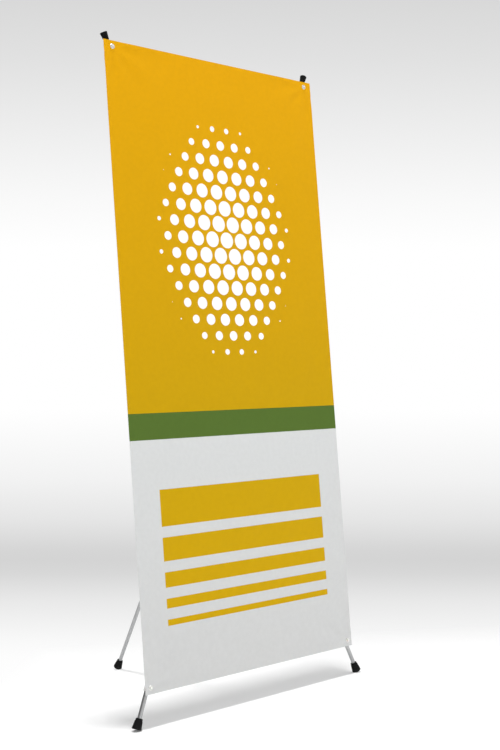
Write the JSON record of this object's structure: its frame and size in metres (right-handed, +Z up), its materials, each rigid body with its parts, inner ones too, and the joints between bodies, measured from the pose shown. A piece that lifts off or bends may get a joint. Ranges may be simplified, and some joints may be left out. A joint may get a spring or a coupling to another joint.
{
  "type": "x banner stand",
  "caption": "Tall printed sheet hooked at its corners on crossed arms that fold at a central hub, propped by a folding rear leg.",
  "frame": {"origin": "on the floor, below the middle of the stand's bounding box", "axes": "+X to the right as seen from the printed side, +Y back towards the rear leg, +Z up; the printed side faces -Y and leans back by 2 degrees"},
  "size_m": [0.8786, 0.7228, 1.917],
  "materials": {
    "printed_vinyl": "satin",
    "nickel": "gloss",
    "white_nylon": "satin",
    "silver_tube": "satin",
    "glass_fibre": "satin",
    "black_plastic": "satin",
    "black_rubber": "matte",
    "steel": "satin"
  },
  "bodies": {
    "hub": {"hub_front_shell": "black_plastic", "hub_rear_shell": "black_plastic", "arm_pin_l": "steel", "arm_pin_r": "steel", "front_leg_pin_l": "steel", "front_leg_pin_r": "steel", "rear_leg_pin": "steel", "hub_screw_left": "steel", "hub_screw_right": "steel", "hub_screw_top": "steel", "hub_screw_bottom": "steel"},
    "arm_l": {"arm_knuckle_l": "black_plastic", "arm_tube_l": "silver_tube", "arm_ferrule_l": "black_plastic", "arm_rod_l": "glass_fibre", "arm_cap_l": "black_rubber", "hook_tl": "white_nylon"},
    "arm_r": {"arm_knuckle_r": "black_plastic", "arm_tube_r": "silver_tube", "arm_ferrule_r": "black_plastic", "arm_rod_r": "glass_fibre", "arm_cap_r": "black_rubber", "hook_tr": "white_nylon"},
    "front_leg_l": {"front_leg_knuckle_l": "black_plastic", "front_leg_tube_l": "silver_tube", "front_foot_l": "black_rubber", "hook_bl": "white_nylon"},
    "front_leg_r": {"front_leg_knuckle_r": "black_plastic", "front_leg_tube_r": "silver_tube", "front_foot_r": "black_rubber", "hook_br": "white_nylon"},
    "rear_leg": {"rear_leg_knuckle": "black_plastic", "rear_leg_tube": "silver_tube", "rear_foot": "black_rubber"},
    "banner": {"banner_sheet": "printed_vinyl", "eyelet_tl": "nickel", "eyelet_tr": "nickel", "eyelet_bl": "nickel", "eyelet_br": "nickel", "eyelet_washer_tl": "nickel", "eyelet_washer_tr": "nickel", "eyelet_washer_bl": "nickel", "eyelet_washer_br": "nickel"}
  },
  "joints": [
    {"name": "arm_l_fold", "type": "hinge", "parent": "hub", "child": "arm_l", "pos_m": [-0.01936, -0.31038, 1.03532], "axis": [-0.922, -0.0135, -0.387], "range_deg": [0, 82]},
    {"name": "arm_r_fold", "type": "hinge", "parent": "hub", "child": "arm_r", "pos_m": [0.01936, -0.31038, 1.03532], "axis": [-0.922, 0.0135, 0.387], "range_deg": [0, 82]},
    {"name": "front_leg_l_fold", "type": "hinge", "parent": "hub", "child": "front_leg_l", "pos_m": [-0.01988, -0.31359, 0.9434], "axis": [0.9176, -0.0139, -0.3974], "range_deg": [0, 82]},
    {"name": "front_leg_r_fold", "type": "hinge", "parent": "hub", "child": "front_leg_r", "pos_m": [0.01988, -0.31359, 0.9434], "axis": [0.9176, 0.0139, 0.3974], "range_deg": [0, 82]},
    {"name": "rear_leg_fold", "type": "hinge", "parent": "hub", "child": "rear_leg", "pos_m": [0, -0.2875, 0.98839], "axis": [-1, 0, 0], "range_deg": [0, 35]},
    {"name": "banner_off", "type": "slide", "parent": "hub", "child": "banner", "axis": [0, -0.9994, 0.0349], "range_m": [0, 0.06]}
  ]
}
